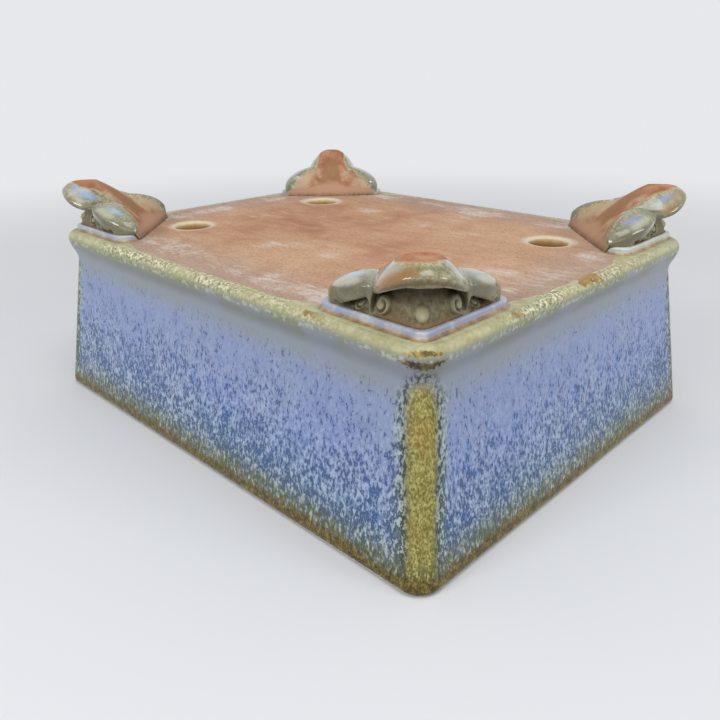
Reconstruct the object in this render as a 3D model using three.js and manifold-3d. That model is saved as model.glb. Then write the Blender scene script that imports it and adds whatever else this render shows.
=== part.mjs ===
// Rectangular bonsai pot on four cloud feet: slab-built stoneware, luted with slip and glazed.
// Millimetres, +Z up. The pot stands on its soles at z = 0, centred on the Z axis, long side along X.
import * as THREE from 'three';
import { mergeVertices } from 'three/addons/utils/BufferGeometryUtils.js';
import loadManifold from 'manifold-3d';

// Driving dimensions of the body
const potHeight = 89.4;
const rimLength = 210;
const rimWidth = 170;
const wallThickness = 8;
const wallLeanIn = 9.6;
const cornerRadius = 7.5;
const innerCornerRadius = 5;
const rimRound = 2.6;
const floorThickness = 9;
const slipSeam = 0.3;

// Base moulding round the foot of the walls
const flangeOverhang = 4.2;
const flangeEdgeRadius = 2.3;
const mouldingHeight = 12.5;
const mouldingTopThickness = 0.4;

// Drain holes, placed from the flange's edges
const drainDiameter = 14.5;
const drainFromEnd = 36.5;
const drainFromSide = 42.5;
const drainBevelWidth = 2;
const drainBevelDepth = 1.2;

// Plinth plates under the body's corners; their ends' rounding is in shares of the ends' depth
const plinthThickness = 2.1;
const plinthSetback = 5.2;
const plinthEndDepth = 7.2;
const plinthApexRound = 3;
const plinthEndRoundShare = 0.66;
const plinthBackRoundShare = 0.18;

// Cloud feet: depth runs from the flange's sharp corner along the diagonal to the back edge.
// A foot's sections fan out from a point behind that edge, and its angles are in degrees off the diagonal.
const footHeight = 19.9;
const footDepth = 40;
const fanBehind = 25;
const toeSetback = 5.8;
const middleLobeRadius = 12;
const middleLobeCrown = 0.6;
const middleLobeSpread = 19.3;
const sideLobeFromCorner = 30;
const sideLobeSetback = 4.2;
const sideLobeLength = 29.2;
const sideLobeWidth = 17.6;
const sideLobeHeight = 10.8;
const ridgeSetback = 13;
const ridgeBehindToe = 11;

// Form of the lobes: powers of their curves, and shares of their height or of a section's length
const middleArchPower = 0.85;
const sideArchPower = 2.2;
const lobeBlend = 8;
const lobeSquareness = 2.5;
const middleTipShare = 0.72;
const endTipShare = 0.35;
const leastShare = 0.12;
const crestShare = 0.75;
const inwardShare = 0.5;
const fanTrimShare = 0.015;

// Hollow mouths under the lobes, with their brows; shares are of the way down a lobe's front or of its brow
const mouthSetback = 6.2;
const mouthDepth = 3.2;
const mouthEdge = 1.4;
const middleMouthEnd = 15.2;
const middleBrow = 11.4;
const browFall = 4.2;
const browFallPower = 4;
const sideMouthStart = 17.2;
const sideMouthEnd = 33;
const sideBrow = 5;
const leastBrow = 1.5;
const browOverhang = 1.5;
const browUnderTip = 0.93;
const lipShare = 0.5;
const browShare = 0.3;
const throatShare = 0.45;
const rootShare = 0.7;
const rootHeightShare = 0.8;

// Scrolls on the mouths' faces and the boss at the corner
const bossRadius = 2;
const bossThickness = 1.7;
const bossHeight = 3.8;
const scrollThickness = 1.8;
const middleScrollRadius = 3.1;
const middleScrollFromCorner = 20.4;
const middleScrollHeight = 3.7;
const sideScrollRadius = 2.4;
const sideScrollFromCorner = 28.6;
const sideScrollHeight = 2.6;

// Facets
const cornerSteps = 6;
const roundSteps = 4;
const coveSteps = 7;
const holeSides = 24;
const outlineSteps = 120;
const footSections = 36;
const backSteps = 4;
const frontSteps = 7;
const underSteps = 12;
const buttonSides = 10;

const wasm = await loadManifold();
wasm.setup();

const rimStart = potHeight - rimRound;
const floorTop = footHeight + floorThickness;
const wallFoot = floorTop + slipSeam;
const diagonal = Math.SQRT1_2;

// How far the wall's outer face has leaned in at a height: evenly, from the rim down to the underside.
const leanAt = (z) => wallLeanIn * (rimStart - z) / (rimStart - footHeight);

// One level outline of a loft: the wall's outer face at that height, moved out by an offset.
function level(z, offset, radius) {
  const grow = 2 * (offset - leanAt(z));
  return { z, length: rimLength + grow, width: rimWidth + grow, radius };
}

const flangeLength = rimLength - 2 * leanAt(footHeight + flangeEdgeRadius) + 2 * flangeOverhang;
const flangeWidth = rimWidth - 2 * leanAt(footHeight + flangeEdgeRadius) + 2 * flangeOverhang;

// A closed mesh as a solid that can be joined and cut.
function toSolid(geometry) {
  const bare = geometry.clone();
  bare.deleteAttribute('normal');
  bare.deleteAttribute('uv');
  const merged = mergeVertices(bare, 1e-4);
  const vertProperties = new Float32Array(merged.attributes.position.array);
  const triVerts = new Uint32Array(merged.index.array);
  return new wasm.Manifold(new wasm.Mesh({ numProp: 3, vertProperties, triVerts }));
}

function toGeometry(solid) {
  const { vertProperties, triVerts } = solid.getMesh();
  const geometry = new THREE.BufferGeometry();
  geometry.setAttribute('position', new THREE.BufferAttribute(vertProperties, 3));
  geometry.setIndex(new THREE.BufferAttribute(triVerts, 1));
  geometry.computeVertexNormals();
  return geometry;
}

function geometryFrom(points, triangles) {
  const geometry = new THREE.BufferGeometry().setFromPoints(points);
  geometry.setIndex(triangles);
  return geometry;
}

// A rounded rectangle, counter-clockwise, with the same number of points at any size.
function roundedRectangle({ length, width, radius }) {
  const path = new THREE.Path();
  const x = length / 2 - radius;
  const y = width / 2 - radius;
  path.absarc(x, y, radius, 0, Math.PI / 2);
  path.absarc(-x, y, radius, Math.PI / 2, Math.PI);
  path.absarc(-x, -y, radius, Math.PI, 1.5 * Math.PI);
  path.absarc(x, -y, radius, 1.5 * Math.PI, 2 * Math.PI);
  return path.getPoints(cornerSteps / 2);
}

// Level outlines stacked from the bottom up and joined into one closed solid with flat ends.
function loft(levels) {
  const rings = levels.map((l) => roundedRectangle(l).map((p) => new THREE.Vector3(p.x, p.y, l.z)));
  const count = rings[0].length;
  const top = (rings.length - 1) * count;
  const triangles = [];
  for (let row = 0; row < top; row += count) {
    for (let i = 0; i < count; i++) {
      const next = (i + 1) % count;
      triangles.push(row + i, row + next, row + count + next);
      triangles.push(row + i, row + count + next, row + count + i);
    }
  }
  for (let i = 1; i < count - 1; i++) {
    triangles.push(0, i + 1, i);
    triangles.push(top, top + i, top + i + 1);
  }
  return toSolid(geometryFrom(rings.flat(), triangles));
}

// Cuts a ring that runs round the pot into its four mitred sides, a slip seam apart at the corners.
function mitredSides(ring) {
  const outside = flangeOverhang + wallLeanIn;
  const inside = wallThickness + wallLeanIn + innerCornerRadius;
  const side = (halfRun, halfAcross, turn) => {
    const shape = new THREE.Shape([
      new THREE.Vector2(-halfRun - outside, -halfAcross - outside),
      new THREE.Vector2(halfRun + outside, -halfAcross - outside),
      new THREE.Vector2(halfRun - inside, -halfAcross + inside),
      new THREE.Vector2(-halfRun + inside, -halfAcross + inside),
    ]);
    const sector = new THREE.ExtrudeGeometry(shape, { depth: 2 * potHeight, bevelEnabled: false });
    sector.translate(0, -slipSeam * diagonal, -potHeight / 2);
    sector.rotateZ(turn);
    return ring.intersect(toSolid(sector));
  };
  return {
    front: side(rimLength / 2, rimWidth / 2, 0),
    right: side(rimWidth / 2, rimLength / 2, Math.PI / 2),
    back: side(rimLength / 2, rimWidth / 2, Math.PI),
    left: side(rimWidth / 2, rimLength / 2, -Math.PI / 2),
  };
}

// Steps of a quarter round of a radius: how far it has risen and how far it has turned in.
function quarterRound(radius) {
  return Array.from({ length: roundSteps + 1 }, (_, i) => {
    const angle = (i / roundSteps) * Math.PI / 2;
    return { rise: radius * Math.sin(angle), turnIn: radius * (1 - Math.cos(angle)) };
  });
}

// Four wall slabs stand on the floor slab, rounded over at the rim.
function wallRing() {
  const outer = [level(wallFoot, 0, cornerRadius)];
  const inner = [level(wallFoot - slipSeam, -wallThickness, innerCornerRadius)];
  for (const { rise, turnIn } of quarterRound(rimRound)) {
    outer.push(level(rimStart + rise, -turnIn, cornerRadius - turnIn));
    inner.push(level(rimStart + rise, turnIn - wallThickness, innerCornerRadius + turnIn));
  }
  const mouth = inner[inner.length - 1];
  inner.push({ ...mouth, z: potHeight + rimRound });
  return loft(outer).subtract(loft(inner));
}

// The base moulding: a flange with a rounded edge, then an easy S-curve that dies into the wall.
function mouldingRing() {
  const outer = [];
  const lip = (z, offset) => outer.push(level(z, offset, cornerRadius + offset));
  const widest = footHeight + flangeEdgeRadius;
  for (const { rise, turnIn } of quarterRound(flangeEdgeRadius).reverse()) {
    lip(widest - rise, flangeOverhang - turnIn);
  }
  const coveRise = mouldingHeight - flangeEdgeRadius;
  const coveReach = flangeOverhang - slipSeam - mouldingTopThickness;
  for (let i = 1; i <= coveSteps; i++) {
    const ease = (1 - Math.cos((i / coveSteps) * Math.PI)) / 2;
    lip(widest + coveRise * i / coveSteps, flangeOverhang - coveReach * ease);
  }
  const low = footHeight - slipSeam;
  const high = footHeight + mouldingHeight + slipSeam;
  const innerRadius = cornerRadius + slipSeam;
  const inner = [level(low, slipSeam, innerRadius), level(high, slipSeam, innerRadius)];
  return loft(outer).subtract(loft(inner));
}

// The floor slab, with four drain holes bevelled where they come out underneath.
function floorSlab() {
  let slab = loft([level(footHeight, 0, cornerRadius), level(floorTop, 0, cornerRadius)]);
  const radius = drainDiameter / 2;
  const mouth = radius + drainBevelWidth;
  const profile = [
    new THREE.Vector2(0, footHeight - slipSeam),
    new THREE.Vector2(mouth, footHeight - slipSeam),
    new THREE.Vector2(mouth, footHeight),
    new THREE.Vector2(radius, footHeight + drainBevelDepth),
    new THREE.Vector2(radius, floorTop + slipSeam),
    new THREE.Vector2(0, floorTop + slipSeam),
  ];
  for (const { sx, sy } of corners) {
    const hole = new THREE.LatheGeometry(profile, holeSides);
    hole.rotateX(Math.PI / 2);
    hole.translate(sx * (flangeLength / 2 - drainFromEnd), sy * (flangeWidth / 2 - drainFromSide), 0);
    slab = slab.subtract(toSolid(hole));
  }
  return slab;
}

// A point of the corner's plan, given by its distances in from the two flange edges: x out, y across.
const cornerPoint = (p, q) => new THREE.Vector2(-(p + q) * diagonal, (p - q) * diagonal);

// A closed outline whose corners are cut back by a distance and rounded.
function roundedOutline(corners) {
  const shape = new THREE.Shape();
  corners.forEach(({ at, round }, i) => {
    const before = corners[(i + corners.length - 1) % corners.length].at;
    const after = corners[(i + 1) % corners.length].at;
    const enter = at.clone().add(before.clone().sub(at).setLength(round));
    const leave = at.clone().add(after.clone().sub(at).setLength(round));
    if (i === 0) shape.moveTo(enter.x, enter.y);
    else shape.lineTo(enter.x, enter.y);
    shape.quadraticCurveTo(at.x, at.y, leave.x, leave.y);
  });
  shape.closePath();
  return shape;
}

// A thin plate under the corner: two legs along the sides, cut off flush with the foot's back edge.
function plinthGeometry() {
  const backCorner = plinthSetback + plinthEndDepth;
  const legLength = footDepth / diagonal - backCorner;
  const endRound = plinthEndRoundShare * plinthEndDepth;
  const backRound = plinthBackRoundShare * plinthEndDepth;
  const nearEnd = { at: cornerPoint(legLength, plinthSetback), round: endRound };
  const nearBack = { at: cornerPoint(legLength, backCorner), round: backRound };
  const farBack = { at: cornerPoint(backCorner, legLength), round: backRound };
  const farEnd = { at: cornerPoint(plinthSetback, legLength), round: endRound };
  const apex = { at: cornerPoint(plinthSetback, plinthSetback), round: plinthApexRound };
  const outline = roundedOutline([apex, nearEnd, nearBack, farBack, farEnd]);
  const settings = { depth: plinthThickness, bevelEnabled: false, curveSegments: cornerSteps };
  return new THREE.ExtrudeGeometry(outline, settings);
}

// How far a ray runs before it leaves an ellipse, or 0 if it misses.
function rayThroughEllipse(start, direction, centre, semi) {
  const from = start.clone().sub(centre).divide(semi);
  const step = direction.clone().divide(semi);
  const a = step.dot(step);
  const b = from.dot(step);
  const inside = b * b - a * (from.dot(from) - 1);
  return inside > 0 ? (Math.sqrt(inside) - b) / a : 0;
}

const fanPoint = (footDepth + fanBehind) * diagonal;
const sideCentre = new THREE.Vector2(sideLobeFromCorner, sideLobeSetback + sideLobeWidth / 2);
const sideSemi = new THREE.Vector2(sideLobeLength / 2, sideLobeWidth / 2);

// The lobes' outline in plan: the middle lobe's circle or the side lobe's ellipse, whichever reaches further.
function lobeReach(turned) {
  const start = new THREE.Vector2(fanPoint, fanPoint);
  const turn = THREE.MathUtils.degToRad(turned) - Math.PI / 4;
  const direction = new THREE.Vector2(Math.sin(turn), -Math.cos(turn));
  const middle = (toeSetback + middleLobeRadius) * diagonal;
  const middleCentre = new THREE.Vector2(middle, middle);
  const middleSemi = new THREE.Vector2(middleLobeRadius, middleLobeRadius);
  return Math.max(
    rayThroughEllipse(start, direction, middleCentre, middleSemi),
    rayThroughEllipse(start, direction, sideCentre, sideSemi),
  );
}

// The angle where the fan ends: there the side lobe's ellipse meets the foot's back edge or is nearest to it.
function fanLimit() {
  const lean = Math.atan2(sideSemi.y, sideSemi.x);
  const pastCentre = (footDepth / diagonal - sideCentre.x - sideCentre.y) / sideSemi.length();
  const t = lean - Math.acos(Math.min(1, pastCentre));
  const end = new THREE.Vector2(Math.cos(t), Math.sin(t)).multiply(sideSemi).add(sideCentre);
  const out = footDepth + fanBehind - (end.x + end.y) * diagonal;
  return THREE.MathUtils.radToDeg(Math.atan2((end.x - end.y) * diagonal, out));
}

const fanEnd = fanLimit();
const footRise = footHeight - plinthThickness - 2 * slipSeam;

// The ridge over the lobes: a dome in the middle, run softly into a flatter arch that ends at the sides.
function ridgeHeight(turned) {
  const dome = Math.max(0, 1 - (turned / middleLobeSpread) ** 2) ** middleArchPower;
  const flatArch = Math.sqrt(1 - (turned / fanEnd) ** sideArchPower);
  const middle = (footRise + middleLobeCrown) * dome;
  const side = sideLobeHeight * flatArch;
  return (middle ** lobeBlend + side ** lobeBlend) ** (1 / lobeBlend);
}

// The brow's lower edge over a mouth: it falls towards the rib in the middle and away from it at the sides.
function browHeight(turned) {
  if (turned < (middleMouthEnd + sideMouthStart) / 2) {
    return middleBrow - browFall * (turned / middleMouthEnd) ** browFallPower;
  }
  return sideBrow * THREE.MathUtils.clamp((sideMouthEnd - turned) / (sideMouthEnd - sideMouthStart), 0, 1);
}

// 1 where a mouth is open, 0 on the rib between the mouths and where the brow comes down to the plinth.
function mouthOpen(turned, brow) {
  const { smoothstep } = THREE.MathUtils;
  const middle = 1 - smoothstep(turned, middleMouthEnd - mouthEdge, middleMouthEnd);
  const side = smoothstep(turned, sideMouthStart, sideMouthStart + mouthEdge);
  return Math.max(middle, side) * smoothstep(brow, 0, leastBrow);
}

// A lobe from its back edge to its tip: the back climbs midway between a straight line and a quarter sine,
// and the front is a quarter superellipse.
function overLobe(back, crest, reach, height, tip) {
  const points = [];
  for (let i = 0; i < backSteps; i++) {
    const climb = i / backSteps;
    const rise = (climb + Math.sin(climb * Math.PI / 2)) / 2;
    points.push(new THREE.Vector2(back + (crest - back) * climb, height * rise));
  }
  for (let i = 0; i <= frontSteps; i++) {
    const sweep = (i / frontSteps) * Math.PI / 2;
    const out = Math.sin(sweep) ** (2 / lobeSquareness);
    const up = Math.max(0, Math.cos(sweep)) ** (2 / lobeSquareness);
    points.push(new THREE.Vector2(crest + (reach - crest) * out, tip + (height - tip) * up));
  }
  return points;
}

// The foot's upright section along one ray of the fan: radius out from its point, height over the plinth.
// Under the tip it turns in below the brow to the mouth's sloping face, and on the ribs it falls straight.
function footSection(angle) {
  const { lerp, clamp, smoothstep, radToDeg } = THREE.MathUtils;
  const turned = Math.abs(radToDeg(angle));
  const reach = lobeReach(turned);
  const height = ridgeHeight(turned);
  const tip = height * lerp(middleTipShare, endTipShare, smoothstep(turned, middleMouthEnd, fanEnd));
  const back = fanBehind / Math.cos(angle);
  const least = lerp(back, reach, leastShare);
  const inward = Math.max(reach - browOverhang, lerp(back, reach, inwardShare));
  const fromSide = (setback) => (fanPoint - setback) / Math.cos(Math.PI / 4 - Math.abs(angle));
  const ridge = Math.max(fromSide(ridgeSetback), reach - ridgeBehindToe);
  const crest = clamp(ridge, least, lerp(back, reach, crestShare));
  const wall = Math.min(fromSide(mouthSetback), reach);
  const sill = clamp(wall, least, inward);
  const hollow = clamp(fromSide(mouthSetback + mouthDepth), least, inward);
  const brow = Math.min(browHeight(turned), browUnderTip * tip);
  const open = mouthOpen(turned, brow);
  const underLobe = (share, openRadius, openHeight) => new THREE.Vector2(
    lerp(lerp(reach, wall, share), openRadius, open),
    lerp(tip * (1 - share), openHeight, open),
  );
  const under = new THREE.SplineCurve([
    new THREE.Vector2(reach, tip),
    underLobe(browShare, lerp(reach, inward, lipShare), brow),
    underLobe(throatShare, inward, brow),
    underLobe(rootShare, hollow, rootHeightShare * brow),
    underLobe(1, sill, 0),
  ]).getPoints(underSteps).slice(1);
  const outline = [...overLobe(back, crest, reach, height, tip), ...under];
  return outline.map(({ x, y }) => new THREE.Vector2(x, clamp(y, 0, footRise)));
}

// The sections' angles, spaced evenly along the lobes' outline.
function sectionAngles() {
  const outline = Array.from({ length: outlineSteps + 1 }, (_, i) => {
    const turned = (1 - fanTrimShare) * fanEnd * (2 * i / outlineSteps - 1);
    const angle = THREE.MathUtils.degToRad(turned);
    const reach = lobeReach(Math.abs(turned));
    return new THREE.Vector2(reach * Math.cos(angle), reach * Math.sin(angle));
  });
  const even = new THREE.SplineCurve(outline).getSpacedPoints(footSections);
  return even.map(({ x, y }) => Math.atan2(y, x));
}

// The fan of sections joined into one closed solid, hanging below z = 0 in the corner's frame.
function lobedBody() {
  const points = [];
  for (const angle of sectionAngles()) {
    for (const { x, y } of footSection(angle)) {
      points.push(new THREE.Vector3(x * Math.cos(angle) - footDepth - fanBehind, x * Math.sin(angle), -y));
    }
  }
  const count = points.length / (footSections + 1);
  const last = footSections * count;
  const triangles = [];
  for (let here = 0; here < last; here += count) {
    for (let k = 0; k < count; k++) {
      const next = (k + 1) % count;
      triangles.push(here + k, here + count + next, here + next);
      triangles.push(here + k, here + count + k, here + count + next);
    }
  }
  for (let k = 1; k < count - 1; k++) {
    triangles.push(0, k, k + 1);
    triangles.push(last, last + k + 1, last + k);
  }
  return toSolid(geometryFrom(points, triangles));
}

// How far in from the flange's edge a mouth's sloping face lies at a height over the plinth.
function faceSetback(height, brow) {
  return mouthSetback + mouthDepth * Math.min(1, height / (rootHeightShare * brow));
}

// A flattened button sunk in a mouth's face, given by its distances in from the two flange edges.
function button(fromCorner, setback, height, radius, thickness, side) {
  const geometry = new THREE.SphereGeometry(1, buttonSides, buttonSides / 2);
  geometry.scale(thickness, radius, radius);
  geometry.rotateZ(side * Math.PI / 4);
  const { x, y } = cornerPoint(fromCorner, setback);
  geometry.translate(x, side * y, -height);
  return toSolid(geometry);
}

// The press-moulded foot: three lobes with hollow fronts, a boss at the corner, scrolls beside each rib.
function cloudFoot() {
  const bossAt = faceSetback(bossHeight, middleBrow);
  const middleAt = faceSetback(middleScrollHeight, middleBrow);
  const sideAt = faceSetback(sideScrollHeight, sideBrow);
  let foot = lobedBody().add(button(bossAt, bossAt, bossHeight, bossRadius, bossThickness, 0));
  for (const side of [-1, 1]) {
    const scroll = (from, at, height, radius) => button(from, at, height, radius, scrollThickness, side);
    foot = foot.add(scroll(middleScrollFromCorner, middleAt, middleScrollHeight, middleScrollRadius));
    foot = foot.add(scroll(sideScrollFromCorner, sideAt, sideScrollHeight, sideScrollRadius));
  }
  return foot;
}

const corners = [
  { name: 'front_left', sx: -1, sy: -1 },
  { name: 'front_right', sx: 1, sy: -1 },
  { name: 'back_right', sx: 1, sy: 1 },
  { name: 'back_left', sx: -1, sy: 1 },
];

const glaze = { color: 0x8f9cc8, roughness: 0.35, metalness: 0 };
const edgeGlaze = { color: 0xb9b48a, roughness: 0.35, metalness: 0 };
const footGlaze = { color: 0xa3a68f, roughness: 0.3, metalness: 0 };
const bareClay = { color: 0xa9705a, roughness: 0.85, metalness: 0 };

const pot = new THREE.Group();

function addPiece(parent, name, geometry, finish) {
  const mesh = new THREE.Mesh(geometry, new THREE.MeshStandardMaterial(finish));
  mesh.name = name;
  parent.add(mesh);
}

addPiece(pot, 'floor_slab', toGeometry(floorSlab()), bareClay);
for (const [side, solid] of Object.entries(mitredSides(wallRing()))) {
  addPiece(pot, `${side}_wall`, toGeometry(solid), glaze);
}
for (const [side, solid] of Object.entries(mitredSides(mouldingRing()))) {
  addPiece(pot, `${side}_moulding`, toGeometry(solid), edgeGlaze);
}

const plinth = plinthGeometry();
plinth.translate(0, 0, -slipSeam - plinthThickness);
const foot = toGeometry(cloudFoot());
foot.translate(0, 0, -2 * slipSeam - plinthThickness);
for (const { name, sx, sy } of corners) {
  const corner = new THREE.Group();
  corner.position.set(sx * flangeLength / 2, sy * flangeWidth / 2, footHeight);
  corner.rotation.z = Math.atan2(sy, sx);
  addPiece(corner, `${name}_plinth`, plinth, footGlaze);
  addPiece(corner, `${name}_foot`, foot, footGlaze);
  pot.add(corner);
}

export default pot;
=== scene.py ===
"""Looks of a rectangular bonsai pot on cloud feet, which the camera sees turned over on its rim."""
from math import radians

import bmesh
import bpy
import numpy as np
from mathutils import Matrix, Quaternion, Vector


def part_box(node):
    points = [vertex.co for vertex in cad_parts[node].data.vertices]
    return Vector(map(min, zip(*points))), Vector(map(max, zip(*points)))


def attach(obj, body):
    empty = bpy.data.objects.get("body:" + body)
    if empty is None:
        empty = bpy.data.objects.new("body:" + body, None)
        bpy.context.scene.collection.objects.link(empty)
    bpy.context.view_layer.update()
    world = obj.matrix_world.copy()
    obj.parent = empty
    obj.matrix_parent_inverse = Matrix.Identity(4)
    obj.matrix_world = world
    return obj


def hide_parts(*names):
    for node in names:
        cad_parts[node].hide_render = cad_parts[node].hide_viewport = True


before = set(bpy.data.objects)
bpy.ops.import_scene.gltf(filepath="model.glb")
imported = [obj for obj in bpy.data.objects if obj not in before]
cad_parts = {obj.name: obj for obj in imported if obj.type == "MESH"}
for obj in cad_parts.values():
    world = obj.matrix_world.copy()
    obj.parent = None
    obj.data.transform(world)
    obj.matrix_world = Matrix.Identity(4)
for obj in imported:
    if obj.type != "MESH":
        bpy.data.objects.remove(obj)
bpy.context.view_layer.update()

# Glazed body: four leaning wall slabs and the base moulding round their foot, stoneware luted at
# the mitres. One coat of glaze covers the outside and runs over the rim, so no seam shows. It
# breaks to olive where it runs thin, over the rim and down the corners; the inside is bare clay.
MM = 0.001
CORNER_RADIUS = 7.5 * MM
INNER_RADIUS = 5 * MM
WALL_THICKNESS = 8 * MM
RIM_ROUND = 2.6 * MM
FLANGE_ROUND = 2.3 * MM
HAND_WAVE = 0.12 * MM
WAVE_RATES = (61, 74, 52)
WAVE_STARTS = (1.3, 0.4, 0.9)
COVE_POINTS = 29
WALL_POINTS = 41
CORNER_STEPS = 24
SIDE_STEPS = 90
COAT_ROUGHNESS = 0.06
STRIPE_ARCH = 6.2 * MM
INNER_SKIN = (-3 * MM, -5 * MM)
INNER_GLAZE = 8 * MM
INNER_GLAZE_END = 10 * MM

rim_half = np.array([-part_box("left_wall")[0].x, -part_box("front_wall")[0].y])
flange_half = np.array([-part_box("left_moulding")[0].x, -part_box("front_moulding")[0].y])
rim_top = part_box("front_wall")[1].z
rim_start = rim_top - RIM_ROUND
slab_low, slab_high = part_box("floor_slab")
underside, floor_top = slab_low.z, slab_high.z
moulding_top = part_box("front_moulding")[1].z
wall_lean = (rim_half[0] - slab_high.x) / (rim_start - floor_top)
flange_widest = underside + FLANGE_ROUND
flange_reach = flange_half[0] - rim_half[0] + wall_lean * (rim_start - flange_widest)
quarter_bend = np.linspace(0, np.pi / 2, 9)


def smooth(low, high, value):
    """0 below low and 1 above high, eased as 3t^2 - 2t^3; it falls where high is below low."""
    t = np.clip((value - low) / (high - low), 0, 1)
    return t * t * (3 - 2 * t)


def loop_columns():
    """A rounded rectangle's columns: each one's corner centre, and the way that it faces.

    The centre slides from corner to corner along the sides, and the facing turns at the corners.
    """
    corners = np.array([[1, 1], [-1, 1], [-1, -1], [1, -1]], float)
    arc = np.linspace(0, 1, CORNER_STEPS + 1)
    slide = np.linspace(0, 1, SIDE_STEPS + 1)[1:-1]
    centres = []
    turns = []
    for corner in range(4):
        step = np.roll(corners, -1, 0)[corner] - corners[corner]
        centres += [np.tile(corners[corner], (len(arc), 1)),
                    corners[corner] + step * slide[:, None]]
        turns += [corner + arc, np.full(len(slide), corner + 1.0)]
    return np.concatenate(centres), np.concatenate(turns) * np.pi / 2


def heading(turn):
    """Steps of length 1 in plan, at angles from the x axis."""
    return np.stack([np.cos(turn), np.sin(turn)], -1)


def rounded_loops(columns, half, radius):
    """A rounded rectangle a row: corner centres less the radius, plus the radius outward."""
    centre, turn = columns
    radius = radius[:, None, None]
    return centre * (half[:, None, :] - radius) + heading(turn) * radius


def lifted(flat, height):
    """Rows of plan points, each row at its own height."""
    return np.concatenate([flat, np.broadcast_to(height[:, None, None], (*flat.shape[:2], 1))], -1)


def body_profile():
    """The skin's section from the flange over the rim to the inner floor and back under the wall.

    Rows of offset from the wall's leaning outer face, height, and plan corner radius. The flange
    is a quarter round, the cove an easy cosine from the flange to the wall, and the rim two
    quarter rounds with a flat land.
    """
    turn_in = RIM_ROUND * (1 - np.cos(quarter_bend))
    rise = RIM_ROUND * np.sin(quarter_bend)
    cove = np.linspace(0, 1, COVE_POINTS)[1:]
    wall = np.linspace(0, 1, WALL_POINTS)[1:-1]
    flange = np.stack([flange_reach - FLANGE_ROUND * (1 - np.sin(quarter_bend)),
                       flange_widest - FLANGE_ROUND * np.cos(quarter_bend)], -1)
    sweep = np.stack([flange_reach * (1 + np.cos(np.pi * cove)) / 2,
                      flange_widest + (moulding_top - flange_widest) * cove], -1)
    face = np.stack([0 * wall, moulding_top + (rim_start - moulding_top) * wall], -1)
    over = np.stack([-turn_in, rim_start + rise], -1)
    back_over = np.stack([turn_in - WALL_THICKNESS, rim_start + rise], -1)[::-1]
    inside = np.stack([0 * wall - WALL_THICKNESS,
                       rim_start + (floor_top - rim_start) * wall], -1)
    under = np.array([[-WALL_THICKNESS, floor_top], [0, floor_top], [0, flange_widest]])
    outer_rows = np.concatenate([flange, sweep, face, over])
    inner_rows = np.concatenate([back_over, inside, under[:1]])
    rows = np.concatenate([outer_rows, inner_rows, under[1:]])
    radius = np.concatenate([CORNER_RADIUS + outer_rows[:, 0],
                             INNER_RADIUS + inner_rows[:, 0] + WALL_THICKNESS,
                             np.full(2, CORNER_RADIUS)])
    return rows[:, 0], rows[:, 1], radius


def body_skin():
    """The body's section carried round a rounded rectangle, with a slow wave pressed in by hand.

    The wave is a product of three sines, one along each axis. Returns the points and, for each,
    how far it lies along the wall from the middle of its corner.
    """
    columns = loop_columns()
    offset, height, radius = body_profile()
    half = np.minimum(rim_half, rim_half + (offset - wall_lean * (rim_start - height))[:, None])
    flat = rounded_loops(columns, half, radius)
    places = (flat[..., 0], flat[..., 1], height[:, None])
    x_wave, y_wave, z_wave = (np.sin(place * rate + start) for place, rate, start
                              in zip(places, WAVE_RATES, WAVE_STARTS))
    pressed = HAND_WAVE * (1 + x_wave * y_wave * z_wave) / 2
    flat -= heading(columns[1]) * pressed[..., None]
    to_corner = (half[:, None, :] - np.abs(flat)).max(-1)
    arc = np.abs(np.mod(columns[1], np.pi / 2) - np.pi / 4)
    on_arc = np.abs(columns[0]).min(-1) > 1 - 1e-6
    along = np.where(on_arc, arc * CORNER_RADIUS,
                     to_corner - CORNER_RADIUS + CORNER_RADIUS * np.pi / 4)
    return lifted(flat, height), along


def surface_mesh(name, points, wrap_rows=False, wrap_columns=True, turned=False):
    """A mesh over a grid of points: one face between each four neighbours.

    It wraps round where the grid closes, and turned faces look the other way.
    """
    rows, columns = points.shape[:2]
    index = np.arange(rows * columns).reshape(rows, columns)
    if wrap_rows:
        index = np.concatenate([index, index[:1]])
    if wrap_columns:
        index = np.concatenate([index, index[:, :1]], 1)
    faces = np.stack([index[:-1, :-1], index[:-1, 1:], index[1:, 1:], index[1:, :-1]], -1)
    faces = faces.reshape(-1, 4)
    if turned:
        faces = faces[:, ::-1]
    mesh = bpy.data.meshes.new(name)
    mesh.from_pydata(points.reshape(-1, 3).tolist(), [], faces.tolist())
    mesh.shade_smooth()
    return mesh


def paint_values(mesh, name, values):
    """Stores one number a point, which a material reads by its name."""
    attribute = mesh.attributes.new(name, "FLOAT", "POINT")
    attribute.data.foreach_set("value", np.asarray(values, np.float32).ravel())


def put_in_scene(data):
    """An object at the origin that holds a mesh, a lamp or a camera, and has its name."""
    made = bpy.data.objects.new(data.name, data)
    bpy.context.scene.collection.objects.link(made)
    return made


def stand_piece(mesh, material, slot, *nodes):
    """Puts a finished piece on the pot in place of the CAD nodes that it shows."""
    mesh.materials.append(material)
    piece = put_in_scene(mesh)
    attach(piece, "root")
    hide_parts(*nodes)


def shade(*screen):
    """Screen values of 0 to 255 as a socket's colour, in linear light by the usual screen curve."""
    return *(((value / 255 + 0.055) / 1.055) ** 2.4 for value in screen), 1


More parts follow.
